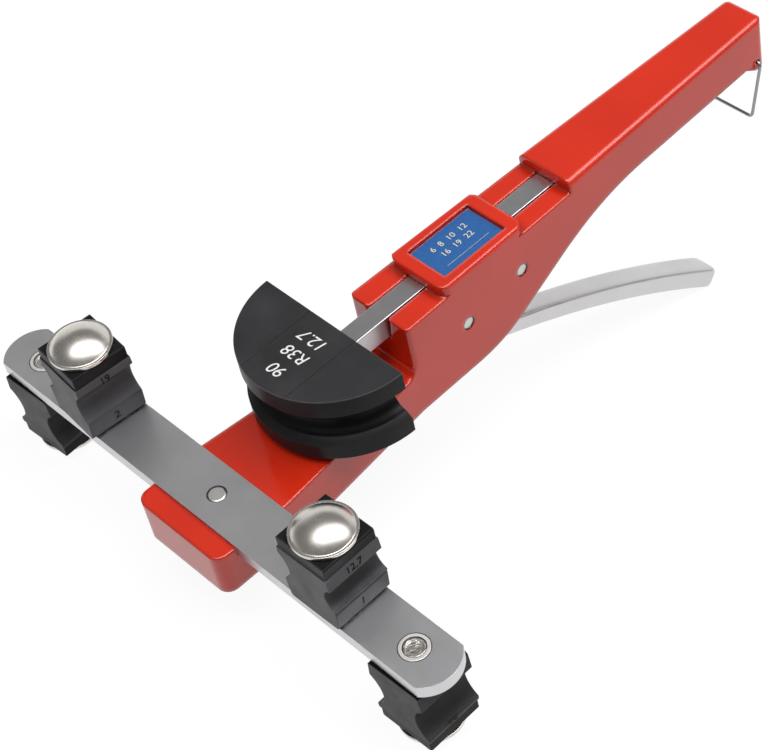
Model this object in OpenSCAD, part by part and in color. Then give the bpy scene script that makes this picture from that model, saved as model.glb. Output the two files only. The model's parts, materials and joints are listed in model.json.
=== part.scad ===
// Ratchet tube bender: a lever drives a toothed bar that pushes a grooved half-round
// former between two forming blocks on a crossbar, and so bends the tube laid across them.
// Every piece is drawn in the casting's frame: the origin is the middle of the crossbar's
// upper face, X runs along the crossbar, Y towards the handle, Z away from the crossbar.
// stand() then sets the tool on the bench, on its two lower domes and the tip of its lever.

/* [Tube] */
// Outside diameter of the tube to bend
tube_d = 12.7; // [10:0.1:16]
// Bend radius at the middle of the tube
bend_r = 38.1; // [34:0.1:44]
// Height of the tube's centre above the crossbar
tube_z = 18.5; // [17:0.1:20]

/* [Crossbar] */
// Length of the crossbar over its round ends
crossbar_l = 268.6; // [264:0.1:300]
// Width of the crossbar
crossbar_w = 25; // [22:0.5:28]
// Thickness of the crossbar
crossbar_t = 6; // [5:0.1:8]
// Radius of the crossbar's round ends
crossbar_end_r = 15.3; // [14.5:0.1:20]
// Distance of the upper blocks' pins from the middle
inner_pin_x = 74; // [68:0.1:78]
// Distance of the lower blocks' pins from the crossbar's ends
outer_pin_in = 19.7; // [19:0.1:22]

/* [Forming blocks] */
// Largest width of a block across its two grooves
block_w = 29; // [27:0.1:31]
// Width of a block's cap
block_top_w = 26.6; // [25:0.1:27.5]
// Width of a block where it meets the crossbar
block_foot_w = 26.8; // [25:0.1:28]
// Length of a block along its grooves
block_l = 27; // [24:0.5:30]
// Height of a block
block_h = 35.8; // [34:0.1:38]
// Height of a block's cap
cap_h = 5.8; // [4:0.1:7]
// Depth of the upper blocks' grooves
block_groove = 4.6; // [3.5:0.1:5]
// Tube that fits the upper blocks' inner grooves
inner_tube_d = 19; // [14:0.1:20]
// Tube that fits the lower blocks' grooves
lower_tube_d = 22; // [18:0.1:23]
// Depth of the lower blocks' grooves
lower_groove = 5.8; // [4:0.1:6.2]
// Turn of the upper left block on its pin
turn_upper_left = -5; // [-20:0.1:20]
// Turn of the upper right block on its pin
turn_upper_right = 0.8; // [-20:0.1:20]
// Turn of the lower left block on its pin
turn_lower_left = 2.4; // [-20:0.1:20]
// Turn of the lower right block on its pin
turn_lower_right = 1.2; // [-20:0.1:20]

/* [Dome pins] */
// Diameter of a pin inside its block
pin_d = 10; // [8:0.1:12]
// Diameter of a pin's tail in the crossbar
tail_d = 9; // [7:0.1:9.5]
// Diameter of the domed head
dome_d = 27.3; // [22:0.1:30]
// Thickness of the head's rim
dome_rim = 1.6; // [1:0.1:3]
// Width of the rim outside the dome
dome_ledge = 1.1; // [0.5:0.1:2]
// Height of the dome over its rim
dome_h = 5.9; // [4:0.1:8]
// Outside diameter of the ring on a pin's tail
ring_d = 12.7; // [11:0.1:14]
// Thickness of the ring on a pin's tail
ring_t = 1.4; // [1:0.1:2]

/* [Crossbar screw] */
// Thread diameter of the screw
screw_d = 8; // [6:0.5:10]
// Diameter of the screw's head
screw_head_d = 13; // [11:0.5:15]
// Height of the screw's head
screw_head_h = 8; // [6:0.5:9]
// Thickness of the washer under the head
washer_t = 1.6; // [1:0.1:2]

/* [Former] */
// Height of the former
former_h = 34; // [32:0.5:38]
// Gap between the former and the crossbar's upper face
former_lift = 2.5; // [1.5:0.1:3]
// How far the former's lips reach past the middle of the tube
lip_reach = 2.3; // [1.5:0.1:3]
// Flare of the former's lips, measured along the rim
lip_flare = 2.6; // [1:0.1:3]
// Distance of the scribed lines from the former's middle
scribe_x = 13.2; // [12:0.1:28]

/* [Ratchet bar] */
// Width of the bar
bar_w = 10; // [9:0.1:11]
// Height of the bar
bar_h = 11; // [10:0.1:12]
// Height of the bar's underside above the crossbar
bar_z = 14.2; // [14:0.1:15]
// Length of bar that shows between the former and the jaws
bar_out = 22.1; // [21:0.1:30]
// Length of bar inside the former
nose_l = 25; // [18:0.5:28]
// Length of bar behind the front of the jaws
bar_in = 174.5; // [174:0.5:178]
// Pitch of the rack teeth
tooth_pitch = 3; // [2.5:0.1:4]
// Depth of the rack teeth
tooth_h = 1.8; // [1:0.1:2.2]
// Diameter of the stop pin across the bar's rear end
stop_d = 5; // [4:0.1:5.5]
// Diameter of the detent ball
ball_d = 4; // [3:0.1:4.5]

/* [Casting] */
// Width of the arm at the crossbar
arm_w = 51.2; // [48:0.2:56]
// Depth of the lip in front of the crossbar
lip_l = 9.8; // [8:0.1:14]
// Length of the arm from the crossbar to the jaws
arm_l = 82; // [80:0.5:90]
// How far the crossbar stands proud of the arm
crossbar_proud = 1.6; // [1:0.1:2.5]
// Depth of the arm's underside below the crossbar's upper face
base_depth = 23; // [22:0.1:26]
// Width of the casting at the front of the jaws
neck_w = 34; // [33:0.2:37]
// Width of the casting at the front of the handle
waist_w = 29.9; // [29:0.1:32]
// Width of the casting at the end of the handle
tail_w = 21.4; // [21:0.1:25]
// Height of the jaws and the rear rails above the crossbar
jaw_z = 25; // [24:0.1:25.2]
// Height of the label boss above the crossbar
pad_z = 30; // [29:0.1:31]
// Height of the handle above the crossbar
handle_z = 31; // [30.5:0.1:33]
// Height of the handle's underside above the crossbar
grip_z = 8.6; // [6:0.1:9]
// Length of the front jaws
jaw_l = 22; // [20:0.5:24]
// Length of the label boss
pad_l = 47.5; // [44:0.5:50]
// Length of the rear window
window_l = 28; // [24:0.5:32]
// Length of the handle
handle_l = 127; // [124:0.5:145]
// Radius along the handle's upper edges
handle_r = 3.5; // [2:0.1:4.5]
// Radius of the label boss's corners
pad_r = 5; // [3:0.1:7]
// Radius of the lip's corners
lip_r = 5.5; // [3:0.1:8]
// Radius in the corner between the arm and the jaws
throat_r = 5; // [2:0.1:8]
// Slope of the underside between the arm and the handle
belly_slope = 26; // [24:0.5:28]
// Radius where the slope leaves the arm
belly_r = 62; // [40:1:66]
// Radius where the slope meets the handle
grip_r = 120; // [110:1:130]
// Length of the handle that has its full depth below the slope
grip_l = 83.5; // [80:0.5:96]
// Width of the lever's cavity
cavity_w = 14; // [13:0.1:15]
// Wall of the hollow handle
handle_wall = 3.2; // [2.5:0.1:3.4]
// Wall round the pockets under the arm
pocket_wall = 4; // [3:0.1:5]
// Depth of the pockets under the arm
pocket_depth = 15; // [8:0.5:16]
// Thickness of the ribs between the pockets
rib_t = 3; // [2:0.1:5]
// Thickness of the label plate
label_t = 0.6; // [0.5:0.1:1]
// Depth of the label's recess
label_depth = 2; // [1.2:0.1:2.2]
// Width of the label
label_w = 20.8; // [18:0.1:21.6]
// Length of the label
label_l = 33.4; // [28:0.1:36]
// Space round the label in its recess
label_gap = 0.7; // [0.2:0.1:1]
// Radius of the label's corners
label_r = 1.6; // [0.5:0.1:3]

/* [Lever] */
// Distance of the lever's pin behind the front of the jaws
lever_pin_y = 31.8; // [31:0.1:33]
// Height of the lever's pin above the crossbar
lever_pin_z = 2.5; // [2:0.1:3]
// Diameter of the lever's pin and the holding pawl's pin
pivot_d = 5.5; // [5:0.1:6]
// Reach of the lever's tip behind its pin
lever_reach = 155.9; // [150:0.1:165]
// Drop of the lever's tip below its pin
lever_drop = 102.1; // [95:0.1:110]
// Slope of the lever at its tip
lever_slope = 36.5; // [34:0.1:40]
// Radius of the lever's bow
lever_bow_r = 603; // [560:1:700]
// Length of the lever's grip
lever_l = 155; // [150:1:160]
// Width of the lever near the casting
lever_w = 12; // [11:0.1:13]
// Width of the lever at its tip
lever_tip_w = 14.4; // [12:0.1:16]
// Thickness of the lever near the casting
lever_t = 8.5; // [8:0.1:10]
// Thickness of the lever at its tip
lever_tip_t = 10.4; // [9:0.1:12]

/* [Pawls] */
// Distance of the holding pawl's pin behind the lever's pin
hold_pin_dy = 32.8; // [32:0.1:36]
// Height of the holding pawl's pin above the crossbar
hold_pin_z = 6.6; // [6:0.1:7]
// Diameter of the drive pawl's pin
drive_pin_d = 3.5; // [3:0.1:4]
// Length of the drive pawl from its pin to its tip
drive_pawl_l = 10.2; // [9:0.1:11]
// Length of the holding pawl from its pin to its tip
hold_pawl_l = 10.2; // [9:0.1:12]
// Gap between a pawl's tip and the teeth when it is released
release_gap = 0.4; // [0.3:0.05:0.8]

/* [Bail] */
// Diameter of the bail's wire
wire_d = 1.5; // [1.2:0.1:2]
// Length of the bail below its holes
bail_l = 27; // [20:0.5:36]
// Height of the bail's holes above the crossbar
bail_z = 8.2; // [7:0.1:9]
// Distance of the bail's holes from the end of the handle
bail_in = 5.8; // [5:0.1:6.5]
// Forward lean of the hanging bail
bail_lean = 5; // [0:0.5:8]
// Depth of the lug that carries the bail
lug_depth = 4.2; // [3:0.1:6]

/* [Fits] */
// Radial clearance of a turning pin
run_fit = 0.05; // [0.02:0.01:0.1]
// Clearance of parts that are fixed together
seat_fit = 0.02; // [0.01:0.01:0.1]
// Side clearance of the bar in the casting
bar_gap = 0.6; // [0.3:0.05:0.8]
// Clearance above and below the bar, and between a block and what it turns on
slide_gap = 0.3; // [0.25:0.05:0.5]

/* [Hidden] */
$fn = 96;

// Stations along the casting
lip_y = -crossbar_w / 2 - lip_l;
jaw_y = crossbar_w / 2 + arm_l;
pad_y = jaw_y + jaw_l;
window_y = pad_y + pad_l;
handle_y = window_y + window_l;
end_y = handle_y + handle_l;
grip_y = end_y - grip_l;
base_z = -base_depth;
arm_z = -crossbar_proud;
bar_top = bar_z + bar_h;
channel_w = bar_w + 2 * bar_gap;
floor_z = bar_z - slide_gap;
roof_z = bar_top + slide_gap;

// Lever, pawls and their cavity
pivot = [jaw_y + lever_pin_y, lever_pin_z];
hold_pin = [pivot.x + hold_pin_dy, hold_pin_z];
drive_pin = pivot + [5.7, 5.5];
pawl_tip_z = bar_z - release_gap;
cavity_y0 = pivot.x - 14;
cavity_y1 = handle_y - 2;
floor_l = 16;
core_y0 = cavity_y1 + floor_l;
core_y1 = end_y - bail_in - 4;
lever_tip = pivot + [lever_reach, -lever_drop];
bow_c = lever_tip - lever_bow_r * [sin(lever_slope), cos(lever_slope)];
boss_r = 6.5;
lug_r = 3.3;
cheek_gap = 6.6;

// Former and bar
former_y = jaw_y - bar_out;
former_r = bend_r + lip_reach;
nose_y = former_y - nose_l;
bar_end_y = jaw_y + bar_in;
groove_r = tube_d / 2 + 0.1;
stop_y = bar_end_y - stop_d;
detent_y = former_y - nose_l / 2;

// How far the screw's head lies inside the arm
head_sink = 0.5;

// Holes for the bail, in which its wire hangs low
eye_d = wire_d + 0.9;

// Blocks and pins
outer_pin_x = crossbar_l / 2 - outer_pin_in;
head_z = block_h + 2 * slide_gap;
dome_edge_r = dome_d / 2 - dome_ledge;
dome_r = (pow(dome_edge_r, 2) + pow(dome_h, 2)) / (2 * dome_h);
ring_seat = ring_t - 0.2;
lower_face = -crossbar_t;

// Stance on the bench: a plane touches the lower domes and the lower edge of the lever's tip
tip_edge_r = 3;
dome_c_z = lower_face - head_z - dome_rim - dome_h + dome_r;
tip_dir = [cos(lever_slope), -sin(lever_slope)];
tip_up = [sin(lever_slope), cos(lever_slope)];
tip_c = lever_tip - (lever_tip_t - tip_edge_r) * tip_up - tip_edge_r * tip_dir;
to_tip = tip_c - [0, dome_c_z];
stance = asin((tip_edge_r - dome_r) / norm(to_tip)) - atan2(to_tip.y, to_tip.x);

module stand() {
    translate([0, dome_c_z * sin(stance), dome_r - dome_c_z * cos(stance)])
        rotate([stance, 0, 0])
            children();
}

// Half width of the casting behind the front of the jaws
function half_w(y) =
    y < handle_y
    ? neck_w / 2 + (waist_w - neck_w) / 2 * (y - jaw_y) / (handle_y - jaw_y)
    : waist_w / 2 + (tail_w - waist_w) / 2 * (y - handle_y) / handle_l;

// Points of an arc about c, from angle a0 to a1
function arc(c, r, a0, a1, n = 8) =
    [for (i = [0:n]) c + r * [cos(a0 + (a1 - a0) * i / n), sin(a0 + (a1 - a0) * i / n)]];

// Extrude a Y-Z outline along X, symmetric about the middle
module along_x(w) {
    rotate([90, 0, 90])
        linear_extrude(w, center = true)
            children();
}

// Round bar along X through the Y-Z point p
module rod_x(p, d, l) {
    translate([0, p.x, p.y])
        rotate([0, 90, 0])
            cylinder(d = d, h = l, center = true);
}

// Box between two corners
module span(low, high) {
    translate(low)
        cube(high - low);
}

// Side outline of the casting, in Y and Z
module casting_profile() {
    slope_y1 = grip_y - grip_r * sin(belly_slope);
    slope_z1 = grip_z - grip_r * (1 - cos(belly_slope));
    slope_z0 = base_z + belly_r * (1 - cos(belly_slope));
    slope_y0 = slope_y1 - (slope_z1 - slope_z0) / tan(belly_slope);
    belly_y = slope_y0 - belly_r * sin(belly_slope);
    lug_y = end_y - bail_in - wire_d;
    lug_z = grip_z - lug_depth;
    polygon(concat(
        [[lip_y, base_z], [lip_y, arm_z]],
        arc([jaw_y - throat_r, arm_z + throat_r], throat_r, -90, 0),
        [[jaw_y, jaw_z], [pad_y, jaw_z], [pad_y, pad_z], [window_y, pad_z], [window_y, jaw_z],
         [handle_y, jaw_z], [handle_y, handle_z + 1], [end_y + 1, handle_z + 1], [end_y + 1, lug_z],
         [lug_y, lug_z], [lug_y - 1.5 * lug_depth, grip_z]],
        arc([grip_y, grip_z - grip_r], grip_r, 90, 90 + belly_slope, 12),
        arc([belly_y, base_z + belly_r], belly_r, belly_slope - 90, -90, 12)
    ));
}

// Plan outline of the casting: the lip and arm, then the long taper to the handle's end
module casting_plan() {
    a = arm_w / 2;
    n = neck_w / 2;
    w = waist_w / 2;
    t = tail_w / 2;
    r = pad_r;
    side = concat(
        arc([a - lip_r, lip_y + lip_r], lip_r, -90, 0),
        [[a, crossbar_w / 2], [n, jaw_y], [w, handle_y]],
        arc([t - r, end_y - r], r, 0, 90)
    );
    mirrored = [for (i = [len(side) - 1:-1:0]) [-side[i].x, side[i].y]];
    polygon(concat(side, mirrored));
}

// Everything below the handle's rounded upper edges, and the rounded top itself
module casting_top() {
    skin = 0.1;
    r = handle_r;
    span([-arm_w, lip_y - 1, base_z - 1], [arm_w, end_y + 1, handle_z - r - 1]);
    hull()
        for (sx = [-1, 1], y = [jaw_y - 8, handle_y, end_y + skin - r], z = [jaw_z - 8, handle_z - r])
            translate([sx * (half_w(min(y, end_y)) + skin - r), y, z])
                sphere(r, $fn = 32);
}

// Waste at one corner of the label boss
module pad_corner(sx, y, sy) {
    inset = pad_r - 0.1;
    c = [sx * (half_w(y) - inset), y - sy * inset];
    difference() {
        translate([c.x + (sx > 0 ? 0 : -pad_r - 2), c.y + (sy > 0 ? 0 : -pad_r), jaw_z])
            cube([pad_r + 2, pad_r, pad_z]);
        translate([c.x, c.y, jaw_z - 1])
            cylinder(r = pad_r, h = pad_z + 2);
    }
}

// Pockets under the arm, with one rib along the middle and one across
module arm_pockets() {
    y0 = screw_head_d / 2 + 2 * pocket_wall;
    y1 = jaw_y - pocket_wall;
    slope = (arm_w - neck_w) / 2 / arm_l;
    ym = (y0 + y1) / 2;
    function x_at(y) = arm_w / 2 - slope * max(0, y - crossbar_w / 2) - pocket_wall;
    for (sx = [0, 1], ys = [[y0, ym - rib_t / 2], [ym + rib_t / 2, y1]])
        mirror([sx, 0, 0])
            translate([0, 0, base_z - 1])
                linear_extrude(pocket_depth + 1)
                    polygon([[rib_t / 2, ys[0]], [x_at(ys[0]), ys[0]], [x_at(ys[1]), ys[1]],
                             [rib_t / 2, ys[1]]]);
}

// Hollow of the handle, open below
module handle_core() {
    translate([0, 0, base_z])
        linear_extrude(roof_z - base_z)
            polygon([for (sx = [-1, 1], y = (sx < 0 ? [core_y0, core_y1] : [core_y1, core_y0]))
                [sx * (half_w(y) - handle_wall), y]]);
}

module body_casting() {
    color("firebrick")
        stand()
            difference() {
                intersection() {
                    along_x(arm_w + 10)
                        casting_profile();
                    translate([0, 0, base_z - 1])
                        linear_extrude(base_depth + handle_z + 5)
                            casting_plan();
                    casting_top();
                }
                span([-arm_w, -crossbar_w / 2 - seat_fit, -crossbar_t],
                     [arm_w, crossbar_w / 2 + seat_fit, jaw_z]);
                for (sx = [-1, 1]) {
                    pad_corner(sx, pad_y, -1);
                    pad_corner(sx, window_y, 1);
                }
                translate([0, (pad_y + window_y) / 2, pad_z - label_depth + 2])
                    cube([label_w + 2 * label_gap, label_l + 2 * label_gap, 4], center = true);
                span([-channel_w / 2, jaw_y - 1, floor_z], [channel_w / 2, core_y0 + 1, roof_z]);
                span([-channel_w / 2, jaw_y - 1, bar_z], [channel_w / 2, pad_y, pad_z + 2]);
                span([-channel_w / 2, window_y, bar_z], [channel_w / 2, handle_y, pad_z + 2]);
                span([-cavity_w / 2, cavity_y0, base_z - 1], [cavity_w / 2, cavity_y1, bar_z]);
                handle_core();
                arm_pockets();
                rod_x(pivot, pivot_d + 2 * seat_fit, arm_w);
                rod_x(hold_pin, pivot_d + 2 * seat_fit, arm_w);
                for (sx = [-1, 1])
                    translate([sx * tail_w / 2, end_y - bail_in, bail_z + eye_d / 2 - wire_d / 2 - 2 * run_fit])
                        rotate([0, 90, 0])
                            cylinder(d = eye_d, h = 12, center = true);
                translate([0, 0, base_z - 1])
                    cylinder(d = screw_head_d + 1, h = head_sink + screw_head_h + washer_t + 1);
                translate([0, 0, base_z])
                    cylinder(d = screw_d + 0.4, h = base_depth);
            }
}

module label_plate() {
    color("royalblue")
        stand()
            translate([0, (pad_y + window_y) / 2, pad_z - label_depth])
                linear_extrude(label_t)
                    offset(label_r)
                        square([label_w - 2 * label_r, label_l - 2 * label_r], center = true);
}

// Outline of the crossbar: a flat bar whose ends bulge in arcs
module crossbar_plan() {
    square([crossbar_l - 2 * crossbar_end_r, crossbar_w], center = true);
    for (sx = [-1, 1])
        intersection() {
            translate([sx * (crossbar_l / 2 - crossbar_end_r), 0])
                circle(crossbar_end_r);
            square([crossbar_l + 1, crossbar_w], center = true);
        }
}

// Places of the four pins: [side, above or below, distance from the middle]
PIN_SIDES = [[-1, 1, inner_pin_x], [1, 1, inner_pin_x], [-1, -1, outer_pin_x], [1, -1, outer_pin_x]];

// Put a piece drawn on the upper face of the crossbar at pin number i
module at_pin(i) {
    p = PIN_SIDES[i];
    translate([p[0] * p[2], 0, p[1] > 0 ? 0 : lower_face])
        mirror([0, 0, p[1] > 0 ? 0 : 1])
            children();
}

module crossbar() {
    color("gray")
        stand()
            difference() {
                translate([0, 0, lower_face])
                    linear_extrude(crossbar_t)
                        crossbar_plan();
                for (i = [0:3])
                    at_pin(i) {
                        translate([0, 0, -crossbar_t - 1])
                            cylinder(d = tail_d + 2 * seat_fit, h = crossbar_t + 2);
                        translate([0, 0, -crossbar_t - 1])
                            cylinder(d = ring_d + 2 * seat_fit, h = ring_seat + 1);
                    }
                translate([0, 0, lower_face - 1])
                    cylinder(d = screw_d + 2 * seat_fit, h = crossbar_t + 2);
            }
}

module crossbar_screw() {
    shank_l = base_depth - screw_head_h - head_sink;
    socket_d = 7;
    color("silver")
        stand()
            difference() {
                union() {
                    translate([0, 0, -shank_l])
                        cylinder(d = screw_d, h = shank_l - 0.5);
                    translate([0, 0, -0.5])
                        cylinder(d1 = screw_d, d2 = screw_d - 1.4, h = 0.5);
                    translate([0, 0, -shank_l - screw_head_h])
                        cylinder(d = screw_head_d, h = screw_head_h);
                }
                translate([0, 0, -shank_l - screw_head_h - 1])
                    cylinder(d = socket_d, h = screw_head_h / 2 + 1, $fn = 6);
            }
}

module crossbar_washer() {
    top = base_z + head_sink + screw_head_h + washer_t;
    color("silver")
        stand()
            translate([0, 0, top - washer_t])
                difference() {
                    cylinder(d = screw_head_d, h = washer_t);
                    translate([0, 0, -1])
                        cylinder(d = screw_d + 0.4, h = washer_t + 2);
                }
}

// Dome-head pin, drawn at the crossbar's upper face with its tail in the bar
module dome_pin(i) {
    cup_d = tail_d - 2;
    color("wheat")
        stand()
            at_pin(i)
                difference() {
                    union() {
                        translate([0, 0, -crossbar_t])
                            cylinder(d = tail_d, h = crossbar_t + 1);
                        cylinder(d = pin_d, h = head_z + 1);
                        translate([0, 0, head_z])
                            cylinder(d = dome_d, h = dome_rim);
                        intersection() {
                            translate([0, 0, head_z + dome_rim + dome_h - dome_r])
                                sphere(dome_r);
                            translate([0, 0, head_z + dome_rim / 2])
                                cylinder(d = dome_d, h = dome_h + dome_rim);
                        }
                    }
                    translate([0, 0, -crossbar_t - 1])
                        cylinder(d = cup_d, h = 1.6);
                }
}

module retaining_rings() {
    color("gainsboro")
        stand()
            for (i = [0:3])
                at_pin(i)
                    translate([0, 0, -crossbar_t - ring_t + ring_seat])
                        difference() {
                            cylinder(d = ring_d, h = ring_t);
                            translate([0, 0, -1])
                                cylinder(d = tail_d + 2 * seat_fit, h = ring_t + 2);
                        }
}

// Grooves of the upper and the lower blocks: [tube outside, tube inside, depth]
UPPER_GROOVES = [tube_d, inner_tube_d, block_groove];
LOWER_GROOVES = [lower_tube_d, lower_tube_d, lower_groove];
cap_step = 0.5;
foot_bevel = 1;
lip_step = 0.8;

// End view of a forming block below its cap: bevelled foot, step, tube groove and sloping facet on each side
module block_profile(grooves) {
    w = block_w / 2;
    t = block_top_w / 2 + cap_step;
    f = block_foot_w / 2;
    g = tube_z - slide_gap;
    c = block_h - cap_h;
    half = [[f - foot_bevel, 0], [f, foot_bevel], [w - 0.3, g - 8.6], [w - lip_step, g - 7.6],
            [w, g - 7.2], [w, g + 6], [t, c]];
    difference() {
        polygon(concat(half, [for (i = [len(half) - 1:-1:0]) [-half[i].x, half[i].y]]));
        for (side = [[1, grooves[0]], [-1, grooves[1]]]) {
            r = side[1] / 2 + 0.1;
            translate([side[0] * (w - grooves[2] + r), g])
                circle(r);
        }
    }
}

// End view of a forming block's cap
module cap_profile() {
    t = block_top_w / 2;
    c = block_h - cap_h;
    polygon([[-t, c - 1], [t, c - 1], [t, block_h - cap_step], [t - cap_step, block_h],
             [cap_step - t, block_h], [-t, block_h - cap_step]]);
}

module forming_block(i, turn, grooves) {
    color("dimgray")
        stand()
            at_pin(i)
                rotate([0, 0, turn])
                    mirror([PIN_SIDES[i][0] > 0 ? 0 : 1, 0, 0])
                        translate([0, 0, slide_gap])
                            difference() {
                                rotate([90, 0, 0]) {
                                    linear_extrude(block_l, center = true)
                                        block_profile(grooves);
                                    linear_extrude(block_l - 2 * cap_step, center = true)
                                        cap_profile();
                                }
                                translate([0, 0, -1])
                                    cylinder(d = pin_d + 2 * run_fit, h = block_h + 2);
                            }
}

// Half section of the former: tube groove with flared lips
module former_section() {
    flare_z = groove_r + lip_flare;
    root_r = former_r - lip_reach - 0.7;
    difference() {
        translate([0, former_lift])
            square([former_r, former_h]);
        translate([bend_r, tube_z])
            circle(groove_r);
        polygon([[root_r, tube_z - groove_r + 0.05], [former_r + 1, tube_z - flare_z - 0.7],
                 [former_r + 1, tube_z + flare_z + 0.7], [root_r, tube_z + groove_r - 0.05]]);
    }
}

module former() {
    scribe_w = 0.4;
    scribe_h = 0.25;
    color("darkslategray")
        stand()
            difference() {
                translate([0, former_y, 0])
                    rotate([0, 0, 180])
                        rotate_extrude(angle = 180)
                            former_section();
                span([-bar_w / 2 - seat_fit, nose_y - slide_gap, bar_z - seat_fit],
                     [bar_w / 2 + seat_fit, former_y + 1, bar_top + seat_fit]);
                for (sx = [-1, 1])
                    translate([sx * scribe_x - scribe_w / 2, former_y - former_r,
                               former_lift + former_h - scribe_h])
                        cube([scribe_w, former_r + 1, 1]);
                translate([0, detent_y, bar_z + ball_d / 2 - 0.8])
                    sphere(d = ball_d + 2 * run_fit);
            }
}

// Side outline of the bar, with saw teeth whose steep faces look back towards the handle
module bar_profile() {
    rack_y0 = pivot.x - 24;
    teeth = floor((hold_pin.x + 52 - rack_y0) / tooth_pitch);
    polygon(concat(
        [[nose_y, bar_top], [nose_y, bar_z]],
        [for (i = [0:teeth], k = [0, 1])
            [rack_y0 + i * tooth_pitch, bar_z + k * tooth_h]],
        [[rack_y0 + (teeth + 1) * tooth_pitch, bar_z], [bar_end_y, bar_z], [bar_end_y, bar_top]]
    ));
}

module ratchet_bar() {
    color("lightgray")
        stand()
            difference() {
                along_x(bar_w)
                    bar_profile();
                rod_x([stop_y, bar_z + bar_h / 2], stop_d + 2 * seat_fit, bar_w + 1);
                translate([0, detent_y, bar_z - 1])
                    cylinder(d = ball_d + 2 * run_fit, h = bar_h - 1);
            }
}

module bar_stop_pin() {
    stop_l = 2 * half_w(stop_y + bar_out) - 2 * handle_wall - 1.5;
    color("gray")
        stand()
            rod_x([stop_y, bar_z + bar_h / 2], stop_d, stop_l);
}

module detent_ball() {
    color("silver")
        stand()
            translate([0, detent_y, bar_z + ball_d / 2 - 0.8])
                sphere(d = ball_d);
}

// Tube of n sides swept through points; side is the direction that the frame keeps across it
function unit(v) = v / norm(v);
function sweep_rings(pts, d, side, n = 6) =
    [for (i = [0:len(pts) - 1])
        let (t = unit(pts[min(i + 1, len(pts) - 1)] - pts[max(i - 1, 0)]),
             u = unit(side - (side * t) * t),
             v = cross(t, u))
        for (k = [0:n - 1]) pts[i] + d / 2 * (cos(360 * k / n) * u + sin(360 * k / n) * v)];
function tube_faces(rings, n = 6) = concat(
    [for (k = [1:n - 2]) [0, k, k + 1]],
    [for (k = [1:n - 2]) let (b = (rings - 1) * n) [b, b + k + 1, b + k]],
    [for (i = [0:rings - 2], k = [0:n - 1]) let (a = i * n + k, b = i * n + (k + 1) % n)
        each [[a, a + n, b + n], [a, b + n, b]]]
);

module wire(pts, d, side, n = 6) {
    polyhedron(sweep_rings(pts, d, side, n), tube_faces(len(pts), n));
}

// Least gap between the turns of a coil, measured on its points
function turn_gap(pts, d, rings) =
    min([for (i = [0:len(pts) - 1], j = [i + rings - 2:1:len(pts) - 1]) norm(pts[i] - pts[j])]) - d;

// Torsion spring about the X axis: a coil of r from angle a0 to a1, and a straight leg at each end
function torsion_points(r, pitch, a0, a1, leg0, leg1) =
    let (n = ceil(abs(a1 - a0) / 45), dir = a1 > a0 ? 1 : -1,
         coil = [for (i = [0:n]) let (a = a0 + (a1 - a0) * i / n)
             [pitch * abs(a - a0) / 360, r * cos(a), r * sin(a)]])
    concat(
        [coil[0] + leg0 * dir * [0, sin(a0), -cos(a0)]],
        coil,
        [coil[n] + leg1 * dir * [0, -sin(a1), cos(a1)]]
    );

module torsion_spring(name, p, x0, d, r, pitch, a0, a1, leg0, leg1) {
    pts = torsion_points(r, pitch, a0, a1, leg0, leg1);
    echo(str(name, " least gap between turns"), turn_gap(pts, d, 8));
    translate([x0, p.x, p.y])
        wire(pts, d, [1, 0, 0]);
}

module detent_spring() {
    d = 0.5;
    r = ball_d / 2 - 0.5;
    pitch = 1;
    ball_top = bar_z + ball_d - 0.8;
    hole_end = bar_z + bar_h - 2;
    turns = (hole_end - ball_top - d) / pitch;
    n = ceil(turns * 8);
    pts = [for (i = [0:n]) [r * cos(45 * i), r * sin(45 * i), pitch * i / 8]];
    echo("detent spring least gap between turns", turn_gap(pts, d, 8));
    color("silver")
        stand()
            translate([0, detent_y, ball_top + d / 2 + 0.05])
                wire(pts, d, [0, 0, 1]);
}

// Lever: a superellipse section carried along the bow, and a forked root on the pin
function bow_point(s) = let (a = lever_slope - s / lever_bow_r * 180 / PI)
    [bow_c + lever_bow_r * [sin(a), cos(a)], [sin(a), cos(a)]];
function squircle(t, p = 0.4) = [sign(cos(t)) * pow(abs(cos(t)), p), sign(sin(t)) * pow(abs(sin(t)), p)];

module lever_grip() {
    sides = 24;
    tip_round = 5;
    runs = 18;
    stations = concat([0, 0.5, 1.3, 2.8], [for (i = [0:runs]) tip_round + (lever_l - tip_round) * i / runs]);
    function taper(s) = s >= tip_round ? 1 : pow(1 - pow(1 - (s + 0.6) / (tip_round + 0.6), 3), 1 / 3);
    pts = [for (s = stations)
        let (b = bow_point(s),
             t = lever_tip_t + (lever_t - lever_tip_t) * s / lever_l,
             w = lever_tip_w + (lever_w - lever_tip_w) * s / lever_l,
             c = b[0] - t / 2 * b[1])
        for (k = [0:sides - 1])
            let (q = squircle(360 * (k + 0.5) / sides) * taper(s), e = c + q.y * t / 2 * b[1])
            [q.x * w / 2, e.x, e.y]];
    polyhedron(pts, tube_faces(len(stations), sides));
}

// Web between the lever's pin and its grip
module lever_web() {
    root = bow_point(lever_l)[0];
    polygon([pivot + [-boss_r, -0.5], root + [-7.5, -6], root + [-0.5, -8.6], root + [10, -6],
             root + [2, 3.5], drive_pin + [lug_r, -1], drive_pin + [-1, lug_r], pivot + [-2, boss_r - 0.3]]);
    translate(pivot)
        circle(boss_r);
    translate(drive_pin)
        circle(lug_r);
}

module lever() {
    slot_z = pivot.y - 4.5;
    color("lightgray")
        stand()
            difference() {
                union() {
                    lever_grip();
                    along_x(lever_w)
                        lever_web();
                }
                span([-cheek_gap / 2, pivot.x - 10, slot_z], [cheek_gap / 2, pivot.x + 16, bar_z]);
                rod_x(pivot, pivot_d + 2 * run_fit, lever_w + 2);
                rod_x(drive_pin, drive_pin_d + 2 * seat_fit, lever_w + 2);
            }
}

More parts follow.
